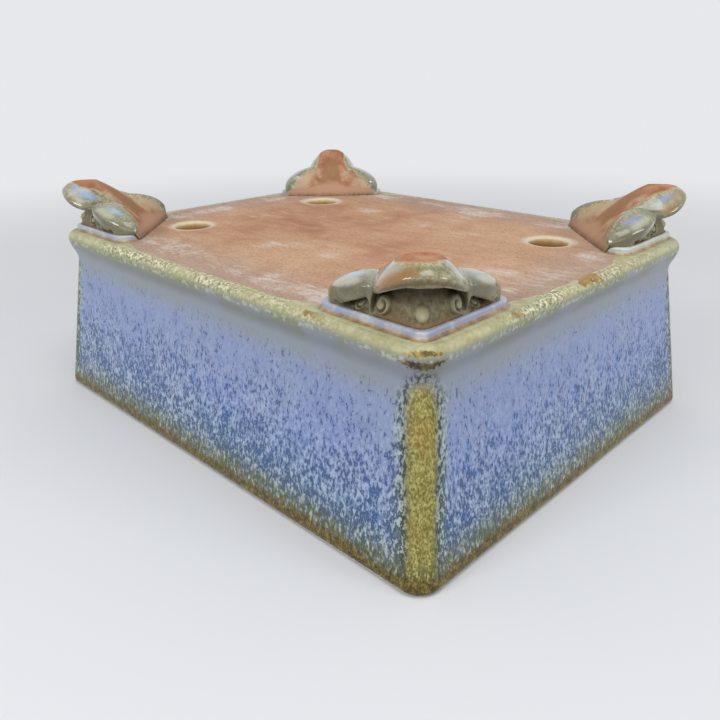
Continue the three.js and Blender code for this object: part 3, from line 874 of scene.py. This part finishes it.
def under_lobe(reach, tip, wall, sill, hollow, brow, opened):
    """Below the tip, rows 2 to 3: a curve through knots of distance out and height.

    Under a brow it turns in to the mouth's face, which slopes out to the sill. On a rib it falls
    straight to the plinth instead.
    """
    inward = np.maximum(reach - BROW_OVERHANG, hollow)
    mouth = [(reach, 2 * tip - brow), (reach, tip),
             (blend(reach, inward, 0.1), blend(tip, brow, 0.6)),
             (blend(reach, inward, 0.5), brow), (inward, brow + BROW_LIFT),
             (blend(inward, hollow, 0.7), 0.97 * brow), (hollow, 0.8 * brow),
             (blend(hollow, sill, 0.25), 0.5 * brow), (blend(hollow, sill, 0.65), 0.2 * brow),
             (sill, 0 * brow), (sill, 0 * brow)]
    share = np.array([-0.15, 0, 0.15, 0.3, 0.45, 0.6, 0.7, 0.82, 0.92, 1, 1.1])[:, None]
    rib = np.stack([blend(reach, wall, share), tip * (1 - share)], -1)
    knots = blend(rib, np.moveaxis(np.array(mouth), 1, -1), opened[:, None])
    return spline(knots, MOUTH_ROWS)[1:], np.linspace(2, 3, MOUTH_ROWS)[1:, None]


def scroll_relief(along, rise):
    """Two curls each side as a share of their depth, and the groove that is cut in them.

    A curl is a dome cut by a spiral that winds out from its eye.
    """
    relief = 0
    groove = 0
    curls = ((MIDDLE_SCROLL, MIDDLE_SCROLL_RADIUS, 1), (SIDE_SCROLL, SIDE_SCROLL_RADIUS, -1))
    for centre, radius, hand in curls:
        du = (along - centre[0]) * hand
        dv = rise - centre[1]
        out = np.hypot(du, dv) / radius
        dome = smooth(*SCROLL_DOME, out)
        turns = out * SCROLL_TURNS - np.arctan2(dv, du) / (2 * np.pi)
        cut = (0.5 + 0.5 * np.cos(2 * np.pi * turns)) ** 3 * smooth(*SCROLL_EYE, out)
        relief = np.maximum(relief, dome * (1 - SCROLL_GROOVE * cut))
        groove = np.maximum(groove, dome * cut)
    return relief, groove


def foot_values(off, down, opened, in_mouth, scroll, groove, boss):
    """What the foot's glaze reads, from the angle across the fan and the way down its section.

    The wiped value falls through 0 where the bare sole meets the glaze. Each of the others is 1
    at the place that it is named for and eases to 0 round it.
    """
    turned = np.abs(off)
    notch = bell(turned, NOTCH, NOTCH_WIDTH) * smooth(1.0, 1.5, down) * smooth(2.6, 2.2, down)
    under_brow = smooth(2.5, 2.62, down) * smooth(2.84, 2.64, down) * opened
    middle_flank = smooth(2, 8, turned) * smooth(15, 12, turned)
    flank = middle_flank + smooth(16, 23, turned) * smooth(40, 30, turned)
    scroll_top = smooth(0.4, 0.9, scroll) * (1 - groove)
    sole_edge = 1.0 + 0.45 * np.maximum(0, 1 - (turned / 9) ** 2) - 0.4 * smooth(13, 30, turned)
    sole_edge = sole_edge - 0.2 * smooth(8, 12, turned) * smooth(19, 15, turned)
    sole_edge = sole_edge - 0.6 * smooth(0.72, 1.0, turned / fan_limit())
    return {
        "wiped": sole_edge - down,
        "foot_back": smooth(1.0, 0.75, down),
        "root": smooth(0.34, 0.02, down),
        "hollow": in_mouth,
        # Painted shade: dark under the brow, in the notches between lobes and in the scrolls'
        # grooves.
        "crease_shade": np.clip(0.55 * notch + under_brow + 0.7 * in_mouth * groove, 0, 1),
        # Painted light, over pale glaze: the scrolls' tops and the boss.
        "raised_light": in_mouth * np.clip(0.8 * scroll_top + smooth(0.1, 0.6, boss), 0, 1),
        "thick": smooth(0.95, 1.2, down) * smooth(1.75, 1.2, down) * flank,
        # Painted sheen, partly paler glaze: pale over the middle of each lobe's front.
        "swell_sheen": bell(down, 1.55, 0.24) * flank,
        # Painted shade: the lower part of each side lobe.
        "low": smooth(1.2, 1.8, down) * smooth(15.5, 18, turned) * (1 - in_mouth),
        "lip": bell(down, 1.72, 0.26) * smooth(15, 12, turned) * smooth(-3, 4, off),
        "rolled": bell(down, 2.0, 0.085) * opened * smooth(15, 11, turned),
        "rib": smooth(1.85, 2.1, down) * (1 - opened),
        "sill": in_mouth * smooth(2.9, 2.97, down),
    }


def cloud_foot():
    """The foot as a fan of upright sections, and the values that its glaze reads at each point.

    The ridge runs parallel to the sides. The way down a section is 0 on the base behind the
    foot, 1 on the ridge, 2 at the lobe's tip and 3 on the plinth.
    """
    off = even_angles()
    angle = np.radians(off)
    turned = np.abs(off)
    reach = lobe_reach(turned)
    height = ridge_height(turned)
    tip = height * blend(MIDDLE_TIP, END_TIP, smooth(MIDDLE_MOUTH_END, fan_limit(), turned))
    back = np.minimum(FAN_BEHIND / np.cos(angle), reach)
    to_side = np.cos(np.pi / 4 - np.hypot(angle, np.radians(CORNER_SOFTNESS)))
    crest = np.maximum((fan_point - RIDGE_SETBACK) / to_side, reach - RIDGE_BEHIND_TOE)
    crest = np.clip(crest, back, blend(back, reach, RIDGE_FURTHEST))
    inmost = np.maximum(back, reach - BROW_OVERHANG)
    wall = np.minimum((fan_point - MOUTH_SETBACK) / to_side, reach)
    sill = np.clip(wall, back, inmost)
    hollow = np.clip((fan_point - MOUTH_SETBACK - MOUTH_DEPTH) / to_side, back, inmost)
    brow = np.minimum(brow_height(turned), BROW_UNDER_TIP * tip)
    opened = (1 - bell(turned, RIB, MOUTH_EDGE)) * smooth(0, LEAST_BROW, brow)

    over, over_down = over_lobe(back, crest, reach, height, tip)
    under, under_down = under_lobe(reach, tip, wall, sill, hollow, brow, opened)
    section = np.concatenate([over, under])
    down = np.concatenate([over_down, under_down])
    radius = section[..., 0] + LIP_SWELL * (bell(down, LIP_ROW, LIP_WIDTH) * opened)
    crown = foot_rise + MIDDLE_CROWN - section[..., 1]
    flattened = foot_rise - crown**2 / (4 * MIDDLE_CROWN)
    rise = np.where(crown < 2 * MIDDLE_CROWN, flattened, section[..., 1])
    x = radius * np.cos(angle) - FOOT_DEPTH - FAN_BEHIND
    y = radius * np.sin(angle)
    in_mouth = smooth(*MOUTH_FACE, down) * opened
    scroll, groove = scroll_relief((np.abs(y) - x) * DIAGONAL, rise)
    boss = smooth(*BOSS_DOME, np.hypot(y, rise - BOSS_HEIGHT) / BOSS_RADIUS)
    x = x + in_mouth * (scroll * SCROLL_DEPTH * DIAGONAL + boss * BOSS_STAND)
    y = y + in_mouth * scroll * SCROLL_DEPTH * DIAGONAL * np.sign(y)
    sunk = np.where(rise < 0, rise, rise * (foot_rise + SLIP_SEAM) / foot_rise - SLIP_SEAM)
    points = np.stack([x, y, foot_rise - underside - sunk], -1)
    return points, foot_values(off, down, opened, in_mouth, scroll, groove, boss)


def foot_glaze():
    """Glossy grey-olive glaze, blue where it pools, golden on the lip; painted sheen, painted shade
    in creases.

    The sole and back are bare clay, with a pale wash near the glaze's edge.
    """
    material, place = new_finish("foot_glaze")
    painted = {name: place.stored(name) for name in foot_paint}
    mottle = place.noise(800, 3, 0.62)
    cloud = place.noise(85, 2)
    patchy = place.noise(48, 2)
    grain = place.noise(1700, 2, 0.6)
    broken = place.noise(280, 3, 0.62)

    # The lobes: olive, with painted shade low down, painted sheen on the swell, blue pools, a
    # golden lip.
    glaze = mottle.ramp((0.36, (114, 109, 72)), (0.5, (138, 134, 96)), (0.64, (164, 160, 122)))
    glaze = glaze.mixed((190, 194, 186), grain.between(0.57, 0.68) * 0.5)
    glaze = glaze.mixed((136, 141, 124), cloud.between(0.4, 0.62) * 0.5)
    # Painted shade: darker olive over the lower part of each side lobe.
    shadow = painted["low"] * (cloud + 0.5 * (mottle - 0.5)).between(0.4, 0.62)
    glaze = glaze.mixed((98, 88, 58), shadow * 0.8)
    # Painted sheen, partly paler glaze: the swell of each lobe is made pale.
    pale = painted["swell_sheen"] + 1.3 * (cloud - 0.5) + 0.9 * (broken - 0.5)
    glaze = glaze.mixed((196, 195, 174), pale.between(0.3, 1.15) * 0.7)
    blue = painted["thick"] + 1.6 * (patchy - 0.5) + 1.3 * (broken - 0.5)
    pool = cloud.ramp((0.4, (130, 154, 198)), (0.6, (172, 190, 208)))
    glaze = glaze.mixed(pool, blue.between(0.35, 1.25) * 0.9)
    golden = painted["lip"] * (cloud + 0.6 * (mottle - 0.5)).between(0.32, 0.5)
    glaze = glaze.mixed((150, 98, 20), golden * 0.9)
    glaze = glaze.mixed((98, 70, 27), painted["rolled"] * 0.85)
    glaze = glaze.mixed((116, 110, 78), painted["rib"] * 0.7)

    # The mouths: dull olive and brown, with pale scrolls and boss and painted shade in creases.
    # Partly painted shade: the mouths' glaze is darker than the lobes'.
    mouth = mottle.ramp((0.36, (92, 86, 56)), (0.64, (136, 130, 94)))
    mouth = mouth.mixed((112, 86, 48), cloud.between(0.46, 0.58) * 0.5)
    glaze = glaze.mixed(mouth, painted["hollow"])
    # Painted light: the scrolls' tops and the boss made paler, as if lit inside the mouth.
    glaze = glaze.mixed((184, 180, 142), painted["raised_light"] * 0.8)
    glaze = glaze.mixed((132, 98, 48), painted["sill"] * mottle.between(0.3, 0.55))
    # Painted shade: near black under the brows, in the notches and in the scroll grooves.
    glaze = glaze.mixed((40, 29, 12), painted["crease_shade"] * 0.88)

    # The bare sole and back, and the ochre fringe of the glaze beside them.
    edge = painted["wiped"] + 0.5 * (cloud - 0.5) + 0.25 * (mottle - 0.5)
    clay = place.noise(150, 4, 0.65).ramp((0.34, (150, 94, 62)), (0.5, (172, 116, 80)),
                                          (0.66, (190, 144, 110)))
    worn = painted["foot_back"] * edge.between(0.45, 0.85)
    clay = clay.mixed((150, 112, 72), worn * 0.75)
    washed = edge.between(0.85, 0.3) * edge.between(-0.1, 0.1)
    washed = washed * (0.3 * patchy + 0.4 * cloud + 0.3 * broken).between(0.4, 0.56)
    clay = clay.mixed((198, 177, 143), washed * painted["foot_back"] * 0.85)
    slip = (painted["root"] + 0.8 * (broken - 0.5)).between(0.2, 0.9)
    clay = clay.mixed((190, 147, 117), slip * 0.85)
    fringe = mottle.ramp((0.4, (170, 144, 84)), (0.6, (204, 192, 144)))
    bare = edge.between(-0.03, 0.1)
    colour = glaze.mixed(fringe, edge.between(-0.2, 0.0) * 0.6).mixed(clay, bare)
    roughness = 0.15 + 0.3 * painted["hollow"] + 0.6 * bare
    coat = 0.6 * (1 - painted["hollow"]) * (1 - bare)
    relief = 0.8 * cloud + 0.2 * mottle
    fire_finish(place, colour, roughness, relief, 0.07 * MM, specular=0.4, coat=coat)
    return material


foot, foot_paint = cloud_foot()
foot_finish = foot_glaze()
for turn, (corner, (sx, sy)) in enumerate(corner_names.items()):
    wave = np.sin(foot * PRESS_RATE + PRESS_STARTS * (turn + 1)).prod(-1, keepdims=True)
    pressed = at_corner(foot + wave * PRESS_WAVE * (1, 1, 0), sx, sy)
    mesh = surface_mesh(f"{corner}_cloud_foot", pressed, wrap_rows=True, wrap_columns=False)
    for name, values in foot_paint.items():
        paint_values(mesh, name, np.broadcast_to(values, foot.shape[:2]))
    weld(mesh)
    stand_piece(mesh, foot_finish, "foot_glaze", f"{corner}_foot")

# Stage: a pale floor under the feet, and a second one against the rim for the pot turned over.
# Each shows the camera only its own face, and lets through the light that falls on the pot.
# Soft lamps stand over both, and the world gives an even light and a pale backdrop.
FLOOR_HALF = 3.0
FADE_START = 0.25
FADE_END = 0.75
PALE = (0.8, 0.81, 0.83)
EVEN_LIGHT = (0.95, 0.97, 1.0)
EVEN_STRENGTH = 0.52


def light_path(place, name):
    """One fact about the ray that meets a surface."""
    return place.node("ShaderNodeLightPath", {}, {}, name)


def pale_floor(name, height, facing):
    """A square floor, pale and fading into the backdrop's own colour away from the pot."""
    material, place = new_finish(name)
    away = place.node("ShaderNodeVectorMath", {"operation": "LENGTH"}, {0: place}, "Value")
    lit = place.node("ShaderNodeBsdfDiffuse", {}, {"Color": (*PALE, 1)})
    glow = place.node("ShaderNodeEmission", {}, {"Color": (*PALE, 1)})
    fade = away.between(FADE_START, FADE_END)
    seen = place.node("ShaderNodeMixShader", {}, {0: fade, 1: lit, 2: glow})
    clear = place.node("ShaderNodeBsdfTransparent")
    bounces = light_path(place, "Diffuse Depth") + light_path(place, "Is Shadow Ray")
    own_face = 1 - place.node("ShaderNodeNewGeometry", {}, {}, "Backfacing")
    shown = (light_path(place, "Is Camera Ray") * own_face).most(bounces.between(1.4, 1.6))
    place.node("ShaderNodeMixShader", {}, {0: shown, 1: clear, 2: seen}).to_output()
    corners = np.array([[-1, -1, 0], [1, -1, 0], [1, 1, 0], [-1, 1, 0]]) * FLOOR_HALF
    mesh = bpy.data.meshes.new(name)
    mesh.from_pydata((corners + (0, 0, height)).tolist(), [],
                     [(0, 1, 2, 3) if facing > 0 else (3, 2, 1, 0)])
    mesh.materials.append(material)
    put_in_scene(mesh)


def soft_lamp(name, place, width, depth, power):
    """A rectangular lamp of a width and a depth in metres that faces the middle of the pot."""
    light = bpy.data.lights.new(name, "AREA")
    light.shape = "RECTANGLE"
    light.size = width
    light.size_y = depth
    light.energy = power
    lamp = put_in_scene(light)
    lamp.location = place
    lamp.rotation_mode = "QUATERNION"
    to_pot = Vector((0, 0, rim_top / 2)) - Vector(place)
    lamp.rotation_quaternion = to_pot.to_track_quat("-Z", "Y")


pale_floor("standing_floor", 0.0, 1)
pale_floor("lying_floor", rim_top, -1)

world = bpy.data.worlds.new("studio")
bpy.context.scene.world = world
world.use_nodes = True
world.node_tree.nodes.clear()
sky = Tone(world.node_tree)
backdrop = sky.node("ShaderNodeBackground", {}, {"Color": (*PALE, 1), "Strength": 1.0})
even = sky.node("ShaderNodeBackground", {}, {"Color": (*EVEN_LIGHT, 1), "Strength": EVEN_STRENGTH})
seen_or_mirrored = light_path(sky, "Is Camera Ray").most(light_path(sky, "Is Glossy Ray"))
straight_seen = seen_or_mirrored.most(light_path(sky, "Is Transmission Ray"))
both = sky.node("ShaderNodeMixShader", {}, {0: straight_seen, 1: even, 2: backdrop})
both.to_output("ShaderNodeOutputWorld")

soft_lamp("lying_key", (0.35, 0.15, -0.85), 0.5, 0.5, 2.4)
soft_lamp("lying_fill", (-0.05, 0.78, -0.4), 0.28, 0.2, 1.9)
soft_lamp("lying_side", (0.8, -0.2, -0.34), 0.28, 0.2, 1.2)
soft_lamp("lying_strip", (0.55, 0.6, -0.24), 1.1, 0.12, 1.2)
soft_lamp("standing_key", (-0.4, -0.5, 0.8), 0.6, 0.6, 3.6)

# Camera: below the feet and rolled over, so that the pot shows on its rim with the feet up.
# The lens and sensor are in millimetres and the roll in degrees.
CAMERA_PLACE = Vector((192.3, 195.5, -42.4)) * MM
CAMERA_AIM = Vector((-1.35, -0.46, 76.37)) * MM
CAMERA_ROLL = 179.363
FOCAL_LENGTH = 34.25
SENSOR_WIDTH = 36

lens = bpy.data.cameras.new("camera")
lens.lens = FOCAL_LENGTH
lens.sensor_width = SENSOR_WIDTH
lens.clip_start = 10 * MM
camera = put_in_scene(lens)
camera.location = CAMERA_PLACE
camera.rotation_mode = "QUATERNION"
upright = (CAMERA_AIM - CAMERA_PLACE).to_track_quat("-Z", "Y")
camera.rotation_quaternion = upright @ Quaternion((0, 0, 1), radians(CAMERA_ROLL))
bpy.context.scene.camera = camera
bpy.context.scene.view_settings.view_transform = "Standard"
